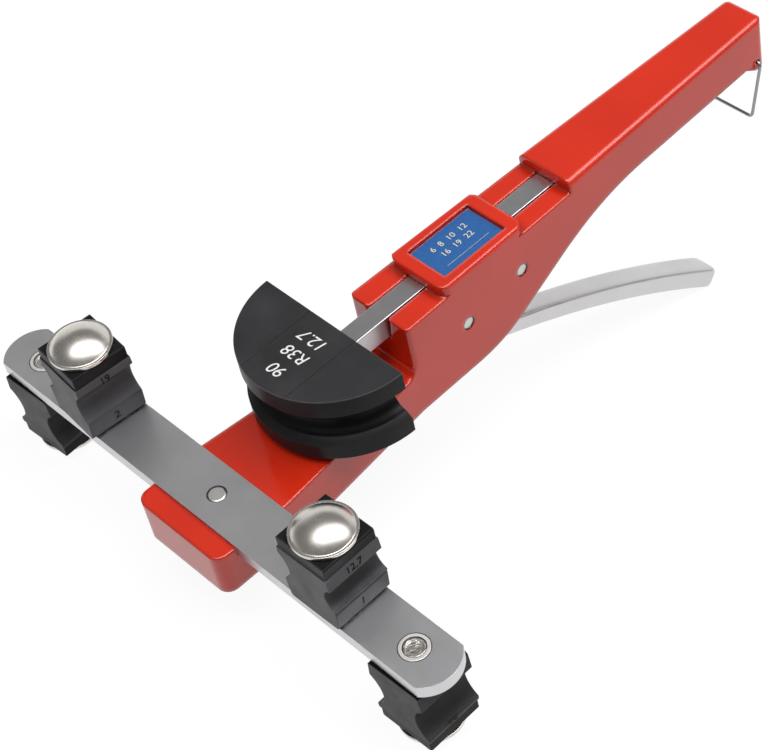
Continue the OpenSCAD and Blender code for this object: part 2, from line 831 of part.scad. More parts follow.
module lever_pin() {
    color("silver")
        stand()
            rod_x(pivot, pivot_d, 2 * half_w(pivot.x) - 0.8);
}

module holding_pawl_pin() {
    color("silver")
        stand()
            rod_x(hold_pin, pivot_d, 2 * half_w(hold_pin.x) - 0.8);
}

module drive_pawl_pin() {
    color("silver")
        stand()
            rod_x(drive_pin, drive_pin_d, lever_w - 0.4);
}

// Side outline of a pawl that points forward and up from its hub to its tip
module pawl_profile(p, hub_r, l) {
    tip = [p.x - l, pawl_tip_z];
    translate(p)
        circle(hub_r);
    polygon([p + [0, hub_r], tip, tip + [-0.3, -1.8], p + [-0.72 * hub_r, -0.7 * hub_r]]);
}

// Pawl with a hub cut back on one side, where its spring sits
module pawl(p, hub_r, l, w, spring_w, spring_r, bore_d) {
    difference() {
        along_x(w)
            pawl_profile(p, hub_r, l);
        translate([w / 2 - spring_w, p.x, p.y])
            rotate([0, 90, 0])
                cylinder(r = spring_r, h = spring_w + 1);
        rod_x(p, bore_d, w + 2);
    }
}

module drive_pawl() {
    color("slategray")
        stand()
            pawl(drive_pin, 3, drive_pawl_l, cheek_gap - 0.6, 2.6, 6, drive_pin_d + 2 * run_fit);
}

module holding_pawl() {
    color("slategray")
        stand()
            pawl(hold_pin, 5, hold_pawl_l, 9, 3, 6.8, pivot_d + 2 * run_fit);
}

module lever_spring() {
    d = 1;
    pitch = 1.5;
    turns = 3;
    x0 = -2.6;
    color("silver")
        stand()
            torsion_spring("lever spring", pivot, x0, d, pivot_d / 2 + 0.95, pitch, 90, 40 - 360 * turns,
                           pivot.x - cavity_y0 - 0.4, 7.6);
}

module drive_pawl_spring() {
    d = 0.6;
    pitch = 1;
    start = 125;
    turns = 1.875;
    color("silver")
        stand()
            torsion_spring("drive pawl spring", drive_pin, 0.8, d, drive_pin_d / 2 + 0.75, pitch,
                           start, start + 360 * turns, 3.2, 5);
}

module holding_pawl_spring() {
    d = 0.8;
    pitch = 1.25;
    start = 215;
    turns = 2.125;
    color("silver")
        stand()
            torsion_spring("holding pawl spring", hold_pin, 2.3, d, pivot_d / 2 + 0.85, pitch,
                           start, start + 360 * turns, 5, 6);
}

// Wire loop that hangs from two holes in the end of the handle
module bail() {
    y = end_y - bail_in;
    leg_x = half_w(y - 3) + slide_gap + wire_d / 2 + 0.3;
    bend = 2;
    in_hole = 4;
    half = concat(
        [[leg_x - bend - in_hole, 0]],
        arc([leg_x - bend, -bend], bend, 90, 0, 6),
        arc([leg_x - bend, bend - bail_l], bend, 0, -90, 6)
    );
    pts = concat(
        [for (q = half) [q.x, 0, q.y]],
        [for (i = [len(half) - 1:-1:0]) [-half[i].x, 0, half[i].y]]
    );
    color("dimgray")
        stand()
            translate([0, y, bail_z])
                rotate([-stance - bail_lean, 0, 0])
                    wire(pts, wire_d, [0, 1, 0], 16);
}

body_casting();
label_plate();
crossbar();
crossbar_screw();
crossbar_washer();
dome_pin(0);  // dome_pin_upper_left
dome_pin(1);  // dome_pin_upper_right
dome_pin(2);  // dome_pin_lower_left
dome_pin(3);  // dome_pin_lower_right
retaining_rings();
forming_block(0, turn_upper_left, UPPER_GROOVES);  // block_upper_left
forming_block(1, turn_upper_right, UPPER_GROOVES);  // block_upper_right
forming_block(2, turn_lower_left, LOWER_GROOVES);  // block_lower_left
forming_block(3, turn_lower_right, LOWER_GROOVES);  // block_lower_right
former();
ratchet_bar();
detent_ball();
detent_spring();
bar_stop_pin();
lever();
lever_pin();
lever_spring();
drive_pawl();
drive_pawl_pin();
drive_pawl_spring();
holding_pawl();
holding_pawl_pin();
holding_pawl_spring();
bail();
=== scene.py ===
"""Looks of a ratchet tube bender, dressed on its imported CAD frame.

Every CAD node keeps its mesh and gets rounded edges and a procedural finish. The figures on the former,
the label and the forming blocks are new pieces, worked out with numpy in the casting's own frame.
"""

import json
import math

import bpy
import numpy as np
from bpy.props import FloatProperty, FloatVectorProperty, PointerProperty
from mathutils import Matrix, Vector


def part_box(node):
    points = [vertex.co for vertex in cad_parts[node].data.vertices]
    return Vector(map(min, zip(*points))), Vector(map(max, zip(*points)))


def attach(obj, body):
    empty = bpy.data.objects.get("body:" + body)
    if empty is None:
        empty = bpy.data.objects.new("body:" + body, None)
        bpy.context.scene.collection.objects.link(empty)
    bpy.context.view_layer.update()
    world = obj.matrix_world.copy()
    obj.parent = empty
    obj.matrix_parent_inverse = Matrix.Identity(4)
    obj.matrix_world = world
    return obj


bl_info = {
    "name": "Ratchet tube bender",
    "version": (1, 0, 0),
    "blender": (4, 5, 0),
    "location": "View3D > Sidebar > Bender",
    "description": "Dresses the packed tube bender and sets its studio",
    "category": "Object",
}

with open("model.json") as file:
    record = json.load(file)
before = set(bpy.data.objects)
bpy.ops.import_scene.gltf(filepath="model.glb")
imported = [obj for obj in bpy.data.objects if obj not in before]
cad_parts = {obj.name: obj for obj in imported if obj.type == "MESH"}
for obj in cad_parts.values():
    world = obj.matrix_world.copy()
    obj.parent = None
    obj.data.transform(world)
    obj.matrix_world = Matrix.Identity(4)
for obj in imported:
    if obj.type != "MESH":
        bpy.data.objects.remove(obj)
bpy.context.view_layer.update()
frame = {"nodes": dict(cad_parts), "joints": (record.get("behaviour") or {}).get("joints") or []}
NODES = frame["nodes"]
JOINTS = {joint["name"]: joint for joint in frame["joints"]}

# The casting's frame, read from the joints: X along the crossbar, Y towards the handle, Z off the crossbar
CAST_X = np.array([1.0, 0.0, 0.0])
CAST_Y = -np.array(JOINTS["bar_slide"]["axis"], float)
CAST_Z = np.array(JOINTS["block_upper_left_turn"]["axis"], float)
CAST_O = (np.array(JOINTS["block_upper_left_turn"]["pos_m"], float)
          + np.array(JOINTS["block_upper_right_turn"]["pos_m"], float)) / 2
TILT = math.atan2(CAST_Y[2], CAST_Y[1])
MM = 0.001

# Sizes of the solids that the finishes and figures follow, in millimetres
CROSSBAR_T = 6.0
BLOCK_H = 35.8
CAP_H = 5.8
BLOCK_GAP = 0.3
RING_R = 6.35
TAIL_R = 4.5
SCREW_R = 4.0
FORMER_TOP = 36.5
LABEL_TOP = 28.6
# Each forming block: its turn on its pin, and the tube sizes of its outer and inner groove
BLOCKS = {
    "block_upper_left": (-5.0, "12.7", "19"),
    "block_upper_right": (0.8, "12.7", "19"),
    "block_lower_left": (2.4, "22", "22"),
    "block_lower_right": (1.2, "22", "22"),
}
# The flats above and below a block's groove, in its end view: the lower and the upper end of each, as x out
# from the pin and h up from the foot, and how large its figures are
BLOCK_FACETS = [((14.5, 24.2), (13.8, 30.0), 0.8), ((13.4, 1.0), (14.2, 9.6), 1.0)]
DOME_PINS = ["dome_pin_upper_left", "dome_pin_upper_right", "dome_pin_lower_left", "dome_pin_lower_right"]

# Figures: how thick the ink and the blocks' marks are, in millimetres, and how high a capital is in a font
# of size 1
INK_T = 0.04
MARK_T = 0.12
CAPITAL = 0.7

# Edges: how far each is broken, and the shortest that is rounded at the jaws and along the bar, all in
# millimetres
RING_EDGE = 0.3
DOME_EDGE = 0.3
PIN_EDGE = 0.12
PAWL_EDGE = 0.15
LABEL_EDGE = 0.1
JAW_LEAST = 10.5
BAR_LEAST = 20.0

# Bands of colour, in millimetres: a block's foot, painted dark as the shadow where it meets the crossbar,
# the former's rim under its top, painted pale as a highlight, and the edges, paled partly by wear and
# partly as painted highlight
FOOT_SHADOW_BAND = 0.9
RIM_BAND = 0.5
RIM_TOP = 0.04
WEAR_AND_HIGHLIGHT_REACH = 0.9

# Factors, each times a colour: a block's foot, a painted shadow, and its cap, its own darker plastic; the
# former's rim, a painted highlight, and its top, lighter than its sides, which are painted darker as shade
FOOT_SHADOW = 0.06
CAP_SHADE = 0.1
RIM_HIGHLIGHT = 8.0
TOP_LIGHT = 2.5

# How high the dents of a peened tail stand against the swirls of the plating
DENT_DEPTH = 60.0

# Meshes: the gap that is merged, in metres, the angles of flats, smooth edges, rounded edges and square
# edges, and the least cosine of a marked edge to its axis
MERGE_GAP = 4e-6
FLAT_ANGLE = math.radians(0.4)
SOFT_ANGLE = math.radians(32.0)
SHARP_ANGLE = math.radians(34.0)
SQUARE_ANGLE = math.radians(60.0)
ALONG = 0.9

# Studio: the soft box and its turn, the middle of its pool on a ceiling at height 1, the way to the far
# wall, half the floor and where the floor fades to white, in metres
LAMP_AT = (0.42, 0.12, 1.35)
LAMP_SIZE = (3.0, 0.9)
LAMP_TURN = math.radians(65.0)
POOL_AT = (0.32, 0.02, 0.0)
FAR_WALL = (-0.643, 0.766, 0.0)
FLOOR_HALF = 3.0
FADE = (0.5, 1.3)


class BenderColours(bpy.types.PropertyGroup):
    """Colours of the finishes, as linear RGB"""

    enamel: FloatVectorProperty(name="Enamel", description="Gloss red paint of the casting",
                                subtype="COLOR", default=(0.68, 0.028, 0.008))
    nylon: FloatVectorProperty(name="Nylon", description="Black plastic of the former",
                               subtype="COLOR", default=(0.033, 0.032, 0.034))
    block: FloatVectorProperty(name="Block", description="Charcoal plastic of the blocks",
                               subtype="COLOR", default=(0.074, 0.072, 0.077))
    crossbar: FloatVectorProperty(name="Crossbar", description="Grey satin steel of the crossbar",
                                  subtype="COLOR", default=(0.63, 0.625, 0.64))
    nickel: FloatVectorProperty(name="Nickel", description="Polished plating of the dome pins",
                                subtype="COLOR", default=(0.66, 0.625, 0.58))
    bright: FloatVectorProperty(name="Bright steel", description="Pins, rings and small hardware",
                                subtype="COLOR", default=(0.66, 0.64, 0.62))
    bar: FloatVectorProperty(name="Bar", description="Ground steel of the ratchet bar",
                             subtype="COLOR", default=(0.53, 0.53, 0.54))
    lever: FloatVectorProperty(name="Lever", description="Cast aluminium of the lever",
                               subtype="COLOR", default=(0.62, 0.61, 0.62))
    wire: FloatVectorProperty(name="Wire", description="Drawn wire of the bail and springs",
                              subtype="COLOR", default=(0.36, 0.35, 0.345))
    label: FloatVectorProperty(name="Label", description="Blue print of the label",
                               subtype="COLOR", default=(0.025, 0.12, 0.36))
    ink: FloatVectorProperty(name="Ink", description="White ink of the former's figures",
                             subtype="COLOR", default=(0.86, 0.86, 0.86))
    figure: FloatVectorProperty(name="Label figures", description="Pale print on the label",
                                subtype="COLOR", default=(0.80, 0.74, 0.48))


class BenderSizes(bpy.types.PropertyGroup):
    """Edge radii and figure sizes"""

    cast_edge: FloatProperty(name="Casting edge", description="Radius along the casting's edges",
                             default=2.4 * MM, unit="LENGTH", precision=5)
    moulded_edge: FloatProperty(name="Moulded edge", description="Radius along the plastic edges",
                                default=0.6 * MM, unit="LENGTH", precision=5)
    steel_edge: FloatProperty(name="Steel edge", description="Broken edge of the bar stock",
                              default=0.35 * MM, unit="LENGTH", precision=5)
    jaw_edge: FloatProperty(name="Jaw edge", description="Radius of the upright corners at the jaws",
                            default=2.0 * MM, unit="LENGTH", precision=5)
    bar_edge: FloatProperty(name="Bar edge", description="Radius along the ratchet bar",
                            default=0.5 * MM, unit="LENGTH", precision=5)
    former_figure: FloatProperty(name="Former figure", description="Height of the former's figures",
                                 default=5.6 * MM, unit="LENGTH", precision=5)
    label_figure: FloatProperty(name="Label figure", description="Height of the label's figures",
                                default=3.0 * MM, unit="LENGTH", precision=5)
    block_figure: FloatProperty(name="Block figure", description="Height of the blocks' figures",
                                default=4.3 * MM, unit="LENGTH", precision=5)


class BenderStudio(bpy.types.PropertyGroup):
    """Camera and light"""

    camera_at: FloatVectorProperty(name="Camera", description="Where the camera stands",
                                   subtype="TRANSLATION", default=(0.564080, -0.422718, 0.695438))
    azimuth: FloatProperty(name="Azimuth", description="Turn of the camera about the vertical",
                           default=math.radians(48.0925), subtype="ANGLE")
    elevation: FloatProperty(name="Elevation", description="Height of the camera above the horizon",
                             default=math.radians(40.0445), subtype="ANGLE")
    roll: FloatProperty(name="Roll", description="Turn of the camera about its own axis",
                        default=math.radians(-1.0927), subtype="ANGLE")
    lens: FloatProperty(name="Lens", description="Focal length on a 36 mm sensor", default=112.2834)
    fill: FloatProperty(name="Fill", description="Strength of the room's even light", default=0.24)
    ceiling: FloatProperty(name="Ceiling", description="Brightness of the ceiling in reflections",
                           default=0.24)
    pool: FloatProperty(name="Pool", description="Brightness of the lamp in reflections", default=7.5)
    key: FloatProperty(name="Key", description="Power of the soft box over the bender", default=28.0)


def cast(points):
    """Points given in millimetres in the casting's frame, as metres in the row frame."""
    p = np.asarray(points, float) * MM
    return CAST_O + p[..., 0:1] * CAST_X + p[..., 1:2] * CAST_Y + p[..., 2:3] * CAST_Z


def turned(point):
    """A point in row coordinates, along the casting's axes, as the finishes read it."""
    return tuple(float(np.dot(point, axis)) for axis in (CAST_X, CAST_Y, CAST_Z))


def middle_of(node):
    """The middle of a node at rest, along the casting's axes, and half its height."""
    low, high = np.array(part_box(node))
    return turned((low + high) / 2), float(high[2] - low[2]) / 2


def scaled(colour, k):
    """A colour times k."""
    return tuple(min(1.0, c * k) for c in colour)


def grow(tree, kind, **values):
    """One node, with its properties. A key with a capital letter is an unlinked socket's value."""
    node = tree.nodes.new(kind)
    for key, value in values.items():
        if key[0].isupper():
            node.inputs[key.replace("_", " ")].default_value = value
        else:
            setattr(node, key, value)
    return node


def put(tree, slot, source):
    """Link a socket to a source socket, or set it to a number, a vector or a colour."""
    if isinstance(source, bpy.types.NodeSocket):
        tree.links.new(source, slot)
    elif slot.type == "RGBA":
        slot.default_value = (*source, 1.0)
    else:
        slot.default_value = source


def feed(tree, node, *sources):
    """Put sources into a node's first sockets, in order, and give its first output."""
    for slot, source in zip(node.inputs, sources):
        put(tree, slot, source)
    return node.outputs[0]


def calc(tree, operation, *terms):
    """The result of a calculation on numbers, each a number or a socket."""
    return feed(tree, grow(tree, "ShaderNodeMath", operation=operation), *terms)


def vector_calc(tree, operation, *terms):
    """The result of a calculation on vectors, each a vector or a socket. Of a length or a dot product it is
    a number."""
    node = grow(tree, "ShaderNodeVectorMath", operation=operation)
    feed(tree, node, *terms)
    return node.outputs["Value" if operation in ("LENGTH", "DOT_PRODUCT") else "Vector"]


def split(tree, vector):
    """The three parts of a vector, by the names X, Y and Z."""
    parts = grow(tree, "ShaderNodeSeparateXYZ")
    tree.links.new(vector, parts.inputs[0])
    return parts.outputs


def spread(tree, value, low, high, first=0.3, last=0.7):
    """A value between first and last, mapped to low and high."""
    remap = grow(tree, "ShaderNodeMapRange", From_Min=first, From_Max=last, To_Min=low, To_Max=high)
    tree.links.new(value, remap.inputs["Value"])
    return remap.outputs["Result"]


def tint(tree, value, under, over):
    """A colour between under and over, each a colour or a socket, by a value from 0 to 1."""
    mixer = grow(tree, "ShaderNodeMix", data_type="RGBA")
    for slot, source in ((0, value), (6, under), (7, over)):
        put(tree, mixer.inputs[slot], source)
    return mixer.outputs[2]


def mingle(tree, value, under, over):
    """A number between under and over, each a number or a socket, by a value from 0 to 1."""
    mixer = grow(tree, "ShaderNodeMix", data_type="FLOAT")
    for slot, source in ((0, value), (2, under), (3, over)):
        put(tree, mixer.inputs[slot], source)
    return mixer.outputs[0]


def dimmed(tree, hue, factor):
    """A colour times a factor, which is a socket."""
    product = grow(tree, "ShaderNodeVectorMath", operation="SCALE")
    tree.links.new(hue, product.inputs[0])
    tree.links.new(factor, product.inputs["Scale"])
    return product.outputs["Vector"]


def noise(tree, vector, scale, detail=3.0, stretch=(1.0, 1.0, 1.0)):
    """Fractal noise with that many cells a metre, stretched along the casting's axes."""
    pull = grow(tree, "ShaderNodeMapping", Scale=stretch)
    tree.links.new(vector, pull.inputs["Vector"])
    cells = grow(tree, "ShaderNodeTexNoise", Scale=scale, Detail=detail)
    tree.links.new(pull.outputs["Vector"], cells.inputs["Vector"])
    return cells.outputs["Fac"]


def mottled(tree, vector, colour, scale, detail, dark, light):
    """A colour that drifts between dark and light times itself, in noise of that scale and detail."""
    share = spread(tree, noise(tree, vector, scale, detail), 0.0, 1.0)
    return tint(tree, share, scaled(colour, dark), scaled(colour, light))


def relief(tree, shader, height, strength, depth, normal=None):
    """Bump on the shader from a height, over the surface's own normal or the one given."""
    bump = grow(tree, "ShaderNodeBump", Strength=strength, Distance=depth)
    tree.links.new(height, bump.inputs["Height"])
    if normal is not None:
        tree.links.new(normal, bump.inputs["Normal"])
    tree.links.new(bump.outputs["Normal"], shader.inputs["Normal"])


def off_crossbar(tree, vector, test, limit):
    """1 where a point's distance from the crossbar's middle plane passes a test against a limit, else 0."""
    middle = float(CAST_O @ CAST_Z) - CROSSBAR_T / 2 * MM
    away = calc(tree, "ABSOLUTE", calc(tree, "SUBTRACT", split(tree, vector)["Z"], middle))
    return calc(tree, test, away, limit)


def shaded(tree, hue, mask, shade):
    """A colour times a shade where a mask is 1."""
    return dimmed(tree, hue, spread(tree, mask, 1.0, shade, 0.0, 1.0))


def painted_crevice_shade(tree, hue, reach, low, shut=0.35, free=0.95):
    """A colour with painted shade in a piece's own grooves and inner corners, darkened down to low times
    itself:
    full where the share of open air around a point is free, and low where it is shut."""
    depth = grow(tree, "ShaderNodeAmbientOcclusion", samples=8, only_local=True, Distance=reach)
    return dimmed(tree, hue, spread(tree, depth.outputs["AO"], low, 1.0, shut, free))


def worn_and_highlit(tree, hue, reach, pale):
    """A colour paled along a piece's edges, partly as wear and partly as a painted highlight: where the
    normal that is rounded over a reach leaves the surface's own."""
    rounded = grow(tree, "ShaderNodeBevel", samples=8, Radius=reach)
    surface = grow(tree, "ShaderNodeNewGeometry")
    along = vector_calc(tree, "DOT_PRODUCT", rounded.outputs[0], surface.outputs["Normal"])
    return tint(tree, spread(tree, along, 1.0, 0.0, 0.80, 0.98), hue, pale)


def painted_gap_shadow(tree, vector, hue, across, holes, width, dark):
    """A colour with a dark line of painted shadow round each hole, where the fit's gap lies in shade: the
    distance from the hole's axis, measured across it, lies between the hole's radius and that plus a width."""
    for centre, radius in holes:
        away = vector_calc(tree, "MULTIPLY", vector_calc(tree, "SUBTRACT", vector, centre), across)
        line = calc(tree, "COMPARE", vector_calc(tree, "LENGTH", away), radius + width / 2, width / 2)
        hue = tint(tree, line, hue, dark)
    return hue


def principled(name, colour, roughness, metallic=0.0, gloss=0.5):
    """A material with one Principled shader and the casting's own coordinates."""
    material = bpy.data.materials.new(name)
    material.use_nodes = True
    tree = material.node_tree
    shader = tree.nodes["Principled BSDF"]
    shader.inputs["Base Color"].default_value = (*colour, 1.0)
    shader.inputs["Roughness"].default_value = roughness
    shader.inputs["Metallic"].default_value = metallic
    shader.inputs["Specular IOR Level"].default_value = gloss
    where = grow(tree, "ShaderNodeTexCoord")
    turn = grow(tree, "ShaderNodeMapping", Rotation=(-TILT, 0.0, 0.0))
    tree.links.new(where.outputs["Object"], turn.inputs["Vector"])
    return material, tree, shader, turn.outputs["Vector"]


def enamel_finish(colour, edge):
    """Gloss enamel on a casting: edges as round as given, a slight orange peel, uneven depth of colour,
    painted shade in the inner corners and a painted shadow line round the two side pins.
    """
    material, tree, shader, vector = principled("red_enamel", colour, 0.3, gloss=0.62)
    # Painted shade in the casting's inner corners and fillets, and below it a painted shadow line round the
    # side pins
    hue = painted_crevice_shade(tree, mottled(tree, vector, colour, 28.0, 3.0, 0.93, 1.05), 6.0 * MM, 0.30)
    pins = [middle_of("lever_pin"), middle_of("holding_pawl_pin")]
    hue = painted_gap_shadow(tree, vector, hue, (0.0, 1.0, 1.0), pins, 0.45 * MM, scaled(colour, 0.12))
    tree.links.new(hue, shader.inputs["Base Color"])
    tree.links.new(spread(tree, noise(tree, vector, 120.0, 4.0), 0.09, 0.16), shader.inputs["Roughness"])
    rounded = grow(tree, "ShaderNodeBevel", samples=16, Radius=edge)
    relief(tree, shader, noise(tree, vector, 520.0, 2.0), 0.06, 0.4 * MM, rounded.outputs[0])
    return material


def moulded_finish(name, colour, gloss, wear_and_highlight, caps, foot=None):
    """Black moulded plastic: a fine spark grain, and edges paled by the factor given, partly as wear and
    partly as painted highlight. Past each height of caps from the crossbar's middle plane the colour is
    times its factor, and short of foot it is painted dark as the shadow where the piece stands on the
    crossbar. Its grooves and inner corners get painted shade."""
    material, tree, shader, vector = principled(name, colour, 0.42, gloss=gloss)
    hue = mottled(tree, vector, colour, 45.0, 4.0, 0.8, 1.25)
    for height, shade in caps:
        hue = shaded(tree, hue, off_crossbar(tree, vector, "GREATER_THAN", height * MM), shade)
    # Edges paled, partly as wear and partly as painted highlight
    hue = worn_and_highlit(tree, hue, WEAR_AND_HIGHLIGHT_REACH * MM, scaled(colour, wear_and_highlight))
    # Painted shadow along the foot, where the piece stands on the crossbar
    if foot is not None:
        hue = shaded(tree, hue, off_crossbar(tree, vector, "LESS_THAN", foot * MM), FOOT_SHADOW)
    # Painted shade in the piece's own grooves and inner corners
    tree.links.new(painted_crevice_shade(tree, hue, 11.0 * MM, 0.05, 0.72, 0.99), shader.inputs["Base Color"])
    tree.links.new(spread(tree, noise(tree, vector, 150.0, 4.0), 0.34, 0.46), shader.inputs["Roughness"])
    relief(tree, shader, noise(tree, vector, 2600.0, 2.0), 0.12, 0.15 * MM)
    return material


def brushed_finish(name, colour, roughness, stretch, depth=0.06, holes=()):
    """Metal with fine lines along one of the casting's axes and a painted shadow line round each hole in
    its flat.
    """
    material, tree, shader, vector = principled(name, colour, roughness, 1.0)
    lines = noise(tree, vector, 3200.0, 3.0, stretch)
    tree.links.new(spread(tree, lines, roughness - 0.03, roughness + 0.05), shader.inputs["Roughness"])
    hue = mottled(tree, vector, colour, 35.0, 3.0, 0.92, 1.06)
    hue = painted_gap_shadow(tree, vector, hue, (1.0, 1.0, 0.0), holes, 0.32 * MM, scaled(colour, 0.15))
    tree.links.new(hue, shader.inputs["Base Color"])
    relief(tree, shader, lines, depth, 0.1 * MM)
    return material


def polished_finish(name, colour, roughness, tail=None, holes=()):
    """Plated metal with faint buffing swirls and a painted shadow line round each hole. A pin's tail at the
    crossbar
    may be peened over: dented, and at the roughness given."""
    material, tree, shader, vector = principled(name, colour, roughness, 1.0)
    sheen = spread(tree, noise(tree, vector, 90.0, 3.0), roughness - 0.03, roughness + 0.04)
    height = noise(tree, vector, 90.0, 2.0)
    if tail is not None:
        near = off_crossbar(tree, vector, "LESS_THAN", 2.0 * CROSSBAR_T * MM)
        sheen = mingle(tree, near, sheen, tail)
        dents = spread(tree, noise(tree, vector, 480.0, 2.0), 0.0, DENT_DEPTH, 0.0, 1.0)
        height = calc(tree, "ADD", height, calc(tree, "MULTIPLY", near, dents))
    if holes:
        hue = mottled(tree, vector, colour, 60.0, 3.0, 0.95, 1.03)
        hue = painted_gap_shadow(tree, vector, hue, (1.0, 1.0, 0.0), holes, 0.35 * MM, scaled(colour, 0.12))
        tree.links.new(hue, shader.inputs["Base Color"])
    tree.links.new(sheen, shader.inputs["Roughness"])
    relief(tree, shader, height, 1.0, 0.01 * MM)
    return material


def cast_finish(colour):
    """Tumbled cast aluminium: a pebbled skin with soft dull patches."""
    material, tree, shader, vector = principled("cast_aluminium", colour, 0.42, 1.0)
    tree.links.new(spread(tree, noise(tree, vector, 70.0, 4.0), 0.28, 0.40), shader.inputs["Roughness"])
    relief(tree, shader, noise(tree, vector, 1100.0, 3.0), 0.10, 0.2 * MM)
    return material


def print_finish(name, colour, gloss=0.5):
    """Flat ink, a little uneven."""
    material, tree, shader, vector = principled(name, colour, 0.45, gloss=gloss)
    tree.links.new(mottled(tree, vector, colour, 700.0, 3.0, 0.86, 1.0), shader.inputs["Base Color"])
    return material


def paper_finish():
    """Grey paper that keeps the bender's shadow. To the camera and in reflections it also glows, up to
    plain white far from the bender."""
    material, tree, shader, vector = principled("floor_paper", (0.45, 0.45, 0.45), 0.9, gloss=0.0)
    path = grow(tree, "ShaderNodeLightPath").outputs
    seen = calc(tree, "MAXIMUM", path["Is Camera Ray"], path["Is Glossy Ray"])
    away = vector_calc(tree, "LENGTH", vector)
    glow = grow(tree, "ShaderNodeEmission")
    tree.links.new(spread(tree, away, 1.22, 1.0, *FADE), glow.inputs["Strength"])
    share = calc(tree, "MULTIPLY", seen, spread(tree, away, 0.75, 1.0, *FADE))
    lit = feed(tree, grow(tree, "ShaderNodeMixShader"), share, shader.outputs[0], glow.outputs[0])
    tree.links.new(lit, tree.nodes["Material Output"].inputs["Surface"])
    return material


def open_group(name):
    """An empty group of geometry nodes, and the sockets where its geometry comes in and goes out."""
    group = bpy.data.node_groups.new(name, "GeometryNodeTree")
    for way in ("INPUT", "OUTPUT"):
        group.interface.new_socket("Geometry", in_out=way, socket_type="NodeSocketGeometry")
    start = group.nodes.new("NodeGroupInput")
    end = group.nodes.new("NodeGroupOutput")
    return group, start.outputs[0], end.inputs[0]


def compared(group, value, test, limit):
    """Whether a value passes a test against a limit."""
    return feed(group, grow(group, "FunctionNodeCompare", data_type="FLOAT", operation=test), value, limit)


def soften_group():
    """Geometry nodes that shade faces smooth and keep edges sharper than an angle sharp."""
    group, start, end = open_group("soften_by_angle")
    faces = grow(group, "GeometryNodeSetShadeSmooth", domain="FACE")
    edges = grow(group, "GeometryNodeSetShadeSmooth", domain="EDGE")
    angle = grow(group, "GeometryNodeInputMeshEdgeAngle").outputs["Unsigned Angle"]
    group.links.new(start, faces.inputs["Geometry"])
    group.links.new(faces.outputs[0], edges.inputs["Geometry"])
    group.links.new(compared(group, angle, "LESS_EQUAL", SOFT_ANGLE), edges.inputs["Shade Smooth"])
    group.links.new(edges.outputs[0], end)
    return group


def edge_group(shortest, axis):
    """Geometry nodes that mark a piece's square convex edges that run along an axis and are longer than
    given."""
    group, start, end = open_group("square_edges")
    angle = grow(group, "GeometryNodeInputMeshEdgeAngle").outputs["Signed Angle"]
    ends = grow(group, "GeometryNodeInputMeshEdgeVertices").outputs
    run = vector_calc(group, "SUBTRACT", ends["Position 1"], ends["Position 2"])
    length = vector_calc(group, "LENGTH", run)
    reach = vector_calc(group, "DOT_PRODUCT", vector_calc(group, "NORMALIZE", run), axis)
    marked = compared(group, angle, "GREATER_THAN", SQUARE_ANGLE)
    for value, limit in ((length, shortest), (calc(group, "ABSOLUTE", reach), ALONG)):
        both = grow(group, "FunctionNodeBooleanMath", operation="AND")
        marked = feed(group, both, marked, compared(group, value, "GREATER_THAN", limit))
    store = grow(group, "GeometryNodeStoreNamedAttribute", data_type="FLOAT", domain="EDGE",
                 Name="bevel_weight_edge")
    group.links.new(start, store.inputs["Geometry"])
    group.links.new(marked, store.inputs["Value"])
    group.links.new(store.outputs[0], end)
    return group


def dress(node, material, edge=0.0, segments=3, marked=0.0, axis=CAST_Y):
    """Give a CAD node its finish, merge its loose triangles and round its sharp edges, or only the square
    ones along an axis that are longer than marked."""
    obj = NODES[node]
    obj.data.materials.clear()
    obj.data.materials.append(material)
    weld = obj.modifiers.new("merge", "WELD")
    weld.merge_threshold = MERGE_GAP
    flat = obj.modifiers.new("flats", "DECIMATE")
    flat.decimate_type = "DISSOLVE"
    flat.angle_limit = FLAT_ANGLE
    if marked > 0.0:
        mark = obj.modifiers.new("marks", "NODES")
        mark.node_group = edge_group(marked, axis)
    if edge > 0.0:
        bevel = obj.modifiers.new("edges", "BEVEL")
        bevel.width = edge
        bevel.segments = segments
        bevel.limit_method = "WEIGHT" if marked > 0.0 else "ANGLE"
        bevel.angle_limit = SHARP_ANGLE
        bevel.miter_outer = "MITER_ARC"
        bevel.use_clamp_overlap = marked == 0.0
    soft = obj.modifiers.new("soft", "NODES")
    soft.node_group = bpy.data.node_groups.get("soften_by_angle") or soften_group()
    even = obj.modifiers.new("even", "WEIGHTED_NORMAL")
    even.keep_sharp = True


def make_piece(name, verts, faces, material, body, slot):
    """A new mesh piece in row coordinates that rides on a body."""
    mesh = bpy.data.meshes.new(name)
    mesh.from_pydata(np.asarray(verts).tolist(), [], faces)
    mesh.update()
    mesh.materials.append(material)
    obj = bpy.data.objects.new(name, mesh)
    bpy.context.scene.collection.objects.link(obj)
    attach(obj, body)


def figures(text, size, thick, at, right, up, lean=0.0):
    """Flat figures of that height in the casting's frame: the font's outline, as thick as given,
    carried from its own plane to the point at along the directions right and up."""
    curve = bpy.data.curves.new("figures", "FONT")
    curve.body = text
    curve.align_x = "CENTER"
    curve.align_y = "CENTER"
    curve.size = size / CAPITAL
    curve.shear = lean
    curve.extrude = thick / 2
    curve.resolution_u = 4
    letters = bpy.data.objects.new("figures", curve)
    mesh = letters.to_mesh()
    flat = np.empty(len(mesh.vertices) * 3)
    mesh.vertices.foreach_get("co", flat)
    flat = flat.reshape(-1, 3)
    faces = [tuple(polygon.vertices) for polygon in mesh.polygons]
    letters.to_mesh_clear()
    bpy.data.objects.remove(letters)
    bpy.data.curves.remove(curve)
    right, up = np.array(right, float), np.array(up, float)
    out = np.cross(right, up)
    place = np.stack([right, up, out])
    return flat @ place + np.array(at, float) + out * thick / 2, faces


def joined(parts):
    """Several lots of points and faces as one, with the points in row coordinates."""
    starts = np.cumsum([0] + [len(points) for points, _ in parts])
    faces = [tuple(int(i + start) for i in face) for (_, lot), start in zip(parts, starts) for face in lot]
    return cast(np.concatenate([points for points, _ in parts])), faces


